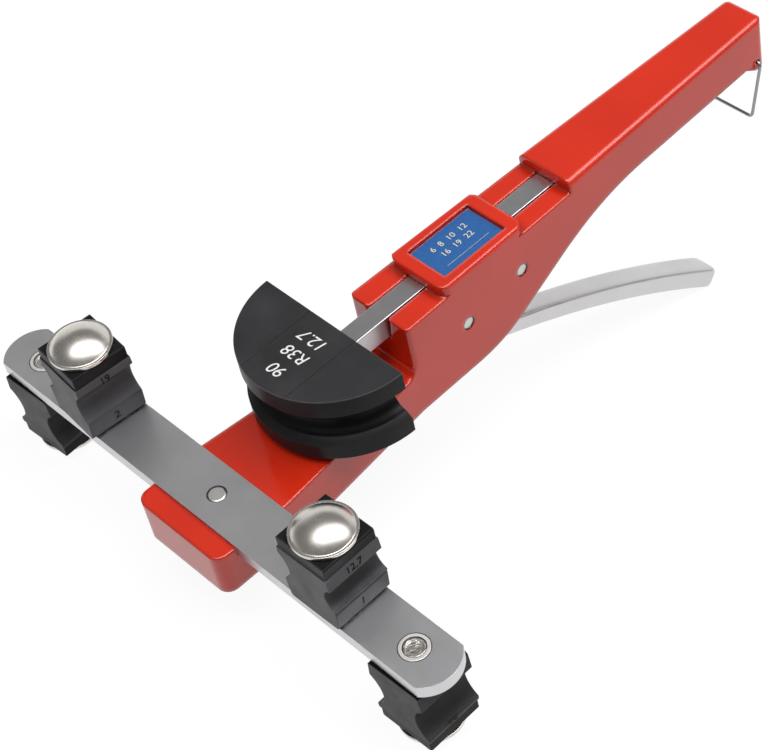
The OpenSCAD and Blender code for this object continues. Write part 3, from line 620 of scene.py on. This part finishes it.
def block_figures(node, turn, outer, inner, size):
    """Tube sizes and index figures on a block's flats, in row coordinates. They lie along each flat in the
    block's end view, turn with the block on its pin, and are upside down below the crossbar."""
    pin = (np.array(JOINTS[node + "_turn"]["pos_m"], float) - CAST_O) / MM
    pin_x = float(pin @ CAST_X)
    side = 1.0 if pin_x > 0 else -1.0
    upper = "upper" in node
    c, s = math.cos(math.radians(turn)), math.sin(math.radians(turn))
    parts = []
    for sx, tube, index in ((side, outer, "1" if upper else "3"), (-side, inner, "2" if upper else "4")):
        for (low, high, k), text in zip(BLOCK_FACETS, (tube, index)):
            low, high = np.array([low, high], float)
            run = (high - low) / np.linalg.norm(high - low)
            middle = (low + high) / 2
            points, faces = figures(text, size * k, MARK_T, (0, 0, 0), (0, 1, 0), (run[0], 0, run[1]))
            points = points + np.array([middle[0], 0.0, middle[1] + BLOCK_GAP])
            points = points * np.array([sx, sx, 1.0])
            points = points @ np.array([[c, s, 0.0], [-s, c, 0.0], [0.0, 0.0, 1.0]])
            if not upper:
                points = points * np.array([1.0, -1.0, -1.0]) - np.array([0.0, 0.0, CROSSBAR_T])
            parts.append((points + np.array([pin_x, 0.0, 0.0]), faces))
    return joined(parts)


class BENDER_OT_casting(bpy.types.Operator):
    """Red enamel on the casting"""

    bl_idname = "bender.casting"
    bl_label = "Casting"

    def execute(self, context):
        sizes, colours = context.scene.bender_sizes, context.scene.bender_colours
        enamel = enamel_finish(colours.enamel, sizes.cast_edge)
        dress("body_casting", enamel, sizes.jaw_edge, 4, JAW_LEAST * MM, CAST_Z)
        return {"FINISHED"}


class BENDER_OT_crossbar(bpy.types.Operator):
    """Satin steel on the crossbar, with its screw, washer and rings, and bright steel on the pins"""

    bl_idname = "bender.crossbar"
    bl_label = "Crossbar"

    def execute(self, context):
        sizes, colours = context.scene.bender_sizes, context.scene.bender_colours
        pins = [turned(JOINTS[node + "_turn"]["pos_m"]) for node in BLOCKS]
        # Painted shadow lines round each ring and the screw in the crossbar, and round each pin's tail in
        # the rings
        holes = [(pin, RING_R * MM) for pin in pins] + [(turned(CAST_O), SCREW_R * MM)]
        satin = brushed_finish("crossbar_grey", colours.crossbar, 0.36, (0.05, 1.0, 1.0), 0.008, holes)
        dress("crossbar", satin, sizes.steel_edge)
        bores = [(pin, TAIL_R * MM) for pin in pins]
        ring = polished_finish("ring_steel", scaled(colours.bright, 1.3), 0.48, None, bores)
        dress("retaining_rings", ring, RING_EDGE * MM, 2)
        steel = polished_finish("bright_steel", colours.bright, 0.42)
        for node in ("crossbar_screw", "crossbar_washer", "lever_pin", "holding_pawl_pin", "drive_pawl_pin",
                     "detent_ball", "bar_stop_pin"):
            dress(node, steel, PIN_EDGE * MM, 2)
        return {"FINISHED"}


class BENDER_OT_dome_pins(bpy.types.Operator):
    """Polished plating on the four dome pins"""

    bl_idname = "bender.dome_pins"
    bl_label = "Dome pins"

    def execute(self, context):
        nickel = polished_finish("polished_nickel", context.scene.bender_colours.nickel, 0.26, 0.30)
        for node in DOME_PINS:
            dress(node, nickel, DOME_EDGE * MM, 3)
        return {"FINISHED"}


class BENDER_OT_blocks(bpy.types.Operator):
    """Black plastic on the four forming blocks and the former, with their figures"""

    bl_idname = "bender.blocks"
    bl_label = "Blocks and former"

    def execute(self, context):
        sizes, colours = context.scene.bender_sizes, context.scene.bender_colours
        foot = CROSSBAR_T / 2 + BLOCK_GAP
        caps = [(foot + BLOCK_H - CAP_H, CAP_SHADE)]
        # Up to this height the blocks are painted dark, as the shadow where they stand on the crossbar
        contact_shadow_top = foot + FOOT_SHADOW_BAND
        # The lower blocks are the same plastic as the upper ones, painted darker as the shade under the
        # crossbar
        nylon = {
            "upper": moulded_finish("block_nylon", scaled(colours.block, 1.18), 0.12, 2.2, caps, contact_shadow_top),
            "lower": moulded_finish("block_nylon_shaded", scaled(colours.block, 0.65), 0.10, 2.2, caps, contact_shadow_top),
        }
        # The blocks' figures are moulded in their own plastic; they are painted near black, as the shade
        # that shows them up
        mark = print_finish("block_mark_painted_shade", scaled(colours.block, 0.06), 0.05)
        for node, (turn, outer, inner) in BLOCKS.items():
            dress(node, nylon[node.split("_")[1]], sizes.moulded_edge)
            verts, faces = block_figures(node, turn, outer, inner, sizes.block_figure / MM)
            make_piece(node + "_figures", verts, faces, mark, node, "black_nylon")
        # The former's sides are painted darker than its top as shade, and the band under its top pale as a
        # highlight
        face = FORMER_TOP + CROSSBAR_T / 2
        former_rim_and_top = [(face - RIM_BAND, RIM_HIGHLIGHT), (face - RIM_TOP, TOP_LIGHT / RIM_HIGHLIGHT)]
        black = moulded_finish("former_nylon", scaled(colours.nylon, 0.4), 0.13, 6.5, former_rim_and_top)
        dress("former", black, sizes.moulded_edge)
        rows = [("90", 42.5), ("R38", 52.5), ("12.7", 62.0)]
        size = sizes.former_figure / MM
        parts = [figures(text, size, INK_T, (0.0, y, FORMER_TOP), (-1, 0, 0), (0, -1, 0), 0.2)
                 for text, y in rows]
        ink = print_finish("former_ink", colours.ink)
        make_piece("former_figures", *joined(parts), ink, "bar", "black_nylon")
        return {"FINISHED"}


class BENDER_OT_bar(bpy.types.Operator):
    """Ground steel on the ratchet bar"""

    bl_idname = "bender.bar"
    bl_label = "Ratchet bar"

    def execute(self, context):
        sizes, colours = context.scene.bender_sizes, context.scene.bender_colours
        ground = brushed_finish("bar_steel", colours.bar, 0.32, (1.0, 0.06, 1.0), 0.02)
        dress("ratchet_bar", ground, sizes.bar_edge, 3, BAR_LEAST * MM)
        return {"FINISHED"}


class BENDER_OT_lever(bpy.types.Operator):
    """Cast aluminium on the lever"""

    bl_idname = "bender.lever"
    bl_label = "Lever"

    def execute(self, context):
        dress("lever", cast_finish(context.scene.bender_colours.lever))
        return {"FINISHED"}


class BENDER_OT_wires(bpy.types.Operator):
    """Drawn wire on the bail and the springs, dark steel on the pawls"""

    bl_idname = "bender.wires"
    bl_label = "Bail, springs and pawls"

    def execute(self, context):
        colours = context.scene.bender_colours
        wire = brushed_finish("dark_wire", colours.wire, 0.32, (1.0, 1.0, 0.1))
        for node in ("bail", "lever_spring", "drive_pawl_spring", "holding_pawl_spring", "detent_spring"):
            dress(node, wire)
        pawl = brushed_finish("pawl_steel", scaled(colours.wire, 0.45), 0.4, (1.0, 1.0, 1.0))
        for node in ("drive_pawl", "holding_pawl"):
            dress(node, pawl, PAWL_EDGE * MM, 2)
        return {"FINISHED"}


class BENDER_OT_label(bpy.types.Operator):
    """Blue plate on the boss, with plain size figures and a thin rule"""

    bl_idname = "bender.label"
    bl_label = "Label"

    def execute(self, context):
        sizes, colours = context.scene.bender_sizes, context.scene.bender_colours
        dress("label_plate", print_finish("label_blue", colours.label), LABEL_EDGE * MM, 2)
        size = sizes.label_figure / MM
        rows = [("6  8  10  12", -4.5, 140.0, size), ("16  19  22", 0.8, 140.0, size),
                ("_" * 18, 5.6, 140.5, 0.62 * size)]
        parts = [figures(text, high, INK_T, (x, y, LABEL_TOP), (0, 1, 0), (-1, 0, 0))
                 for text, x, y, high in rows]
        ink = print_finish("label_ink", colours.figure)
        make_piece("label_figures", *joined(parts), ink, "frame", "label_blue")
        return {"FINISHED"}


def set_camera(scene, studio):
    """Camera at its measured place: back, right and up axes from azimuth, elevation and roll."""
    a, e, r = studio.azimuth, studio.elevation, studio.roll
    back = Vector((math.sin(a) * math.cos(e), -math.cos(a) * math.cos(e), math.sin(e)))
    level = Vector((math.cos(a), math.sin(a), 0.0))
    rise = back.cross(level)
    right = math.cos(r) * level + math.sin(r) * rise
    up = back.cross(right)
    data = bpy.data.cameras.new("camera")
    data.lens = studio.lens
    data.sensor_width = 36.0
    data.clip_start = 0.01
    camera = bpy.data.objects.new("camera", data)
    look = Matrix((right, up, back)).transposed().to_4x4()
    camera.matrix_world = Matrix.Translation(studio.camera_at) @ look
    scene.collection.objects.link(camera)
    scene.camera = camera


def soft_box(scene, name, at, turn, size, power):
    """A level area lamp that looks down, with its length turned about the vertical."""
    data = bpy.data.lights.new(name, "AREA")
    data.shape = "RECTANGLE"
    data.size, data.size_y = size
    data.energy = power
    lamp = bpy.data.objects.new(name, data)
    lamp.visible_glossy = False
    lamp.matrix_world = Matrix.Translation(at) @ Matrix.Rotation(turn, 4, "Z")
    scene.collection.objects.link(lamp)


def mirrored_room(tree, studio):
    """Strength of the room in reflections: a pale far wall, a dim ceiling and the lamp's soft pool. The
    pool lies on a level ceiling overhead, where a direction over its own height meets it."""
    where = grow(tree, "ShaderNodeTexCoord").outputs["Generated"]
    rise = split(tree, where)["Z"]
    wall = spread(tree, vector_calc(tree, "DOT_PRODUCT", where, FAR_WALL), 0.22, 0.95, 0.40, 0.75)
    room = mingle(tree, spread(tree, rise, 0.0, 1.0, 0.46, 0.60), wall, studio.ceiling)
    over = vector_calc(tree, "DIVIDE", where, calc(tree, "MAXIMUM", rise, 0.05))
    place = grow(tree, "ShaderNodeMapping", vector_type="TEXTURE", Location=POOL_AT,
                 Rotation=(0.0, 0.0, LAMP_TURN))
    tree.links.new(over, place.inputs["Vector"])
    sides = split(tree, vector_calc(tree, "ABSOLUTE", place.outputs[0]))
    length = spread(tree, sides["X"], 1.0, 0.0, 0.45, 1.6)
    width = spread(tree, sides["Y"], 1.0, 0.0, 0.03, 0.66)
    core = calc(tree, "POWER", calc(tree, "MULTIPLY", length, width), 2.0)
    return calc(tree, "MULTIPLY_ADD", core, studio.pool, room)


def light_room(scene, studio):
    """World light: an even fill on the bender, the mirrored room in reflections, and white behind it."""
    world = bpy.data.worlds.new("room")
    scene.world = world
    world.use_nodes = True
    world.cycles.sampling_method = "NONE"
    tree = world.node_tree
    back = tree.nodes["Background"]
    back.inputs["Color"].default_value = (1.0, 1.0, 1.0, 1.0)
    path = grow(tree, "ShaderNodeLightPath").outputs
    lit = mingle(tree, path["Is Glossy Ray"], studio.fill, mirrored_room(tree, studio))
    tree.links.new(mingle(tree, path["Is Camera Ray"], lit, 1.0), back.inputs["Strength"])


def lay_floor(scene):
    """A square of pale paper under the bender."""
    corners = [(x * FLOOR_HALF, y * FLOOR_HALF, 0.0) for x, y in ((-1, -1), (1, -1), (1, 1), (-1, 1))]
    floor = bpy.data.meshes.new("floor")
    floor.from_pydata(corners, [], [(0, 1, 2, 3)])
    floor.materials.append(paper_finish())
    obj = bpy.data.objects.new("floor", floor)
    scene.collection.objects.link(obj)


class BENDER_OT_stage(bpy.types.Operator):
    """Pale floor, soft light and the camera"""

    bl_idname = "bender.stage"
    bl_label = "Stage"

    def execute(self, context):
        scene = context.scene
        studio = scene.bender_studio
        scene.view_settings.view_transform = "Standard"
        light_room(scene, studio)
        lay_floor(scene)
        soft_box(scene, "key", LAMP_AT, LAMP_TURN, LAMP_SIZE, studio.key)
        set_camera(scene, studio)
        return {"FINISHED"}


class BENDER_PT_panel(bpy.types.Panel):
    """Buttons for each group of pieces"""

    bl_label = "Ratchet tube bender"
    bl_space_type = "VIEW_3D"
    bl_region_type = "UI"
    bl_category = "Bender"

    def draw(self, context):
        for operator in OPERATORS:
            self.layout.operator(operator.bl_idname)


GROUPS = [("bender_colours", BenderColours), ("bender_sizes", BenderSizes), ("bender_studio", BenderStudio)]
OPERATORS = [BENDER_OT_casting, BENDER_OT_crossbar, BENDER_OT_dome_pins, BENDER_OT_blocks, BENDER_OT_bar,
             BENDER_OT_lever, BENDER_OT_wires, BENDER_OT_label, BENDER_OT_stage]


def register():
    for name, group in GROUPS:
        bpy.utils.register_class(group)
        setattr(bpy.types.Scene, name, PointerProperty(type=group))
    for cls in OPERATORS + [BENDER_PT_panel]:
        bpy.utils.register_class(cls)


def unregister():
    for cls in reversed(OPERATORS + [BENDER_PT_panel]):
        bpy.utils.unregister_class(cls)
    for name, group in reversed(GROUPS):
        delattr(bpy.types.Scene, name)
        bpy.utils.unregister_class(group)


def main():
    register()
    for operator in OPERATORS:
        family, action = operator.bl_idname.split(".")
        getattr(getattr(bpy.ops, family), action)()


if __name__ == "__main__":
    main()
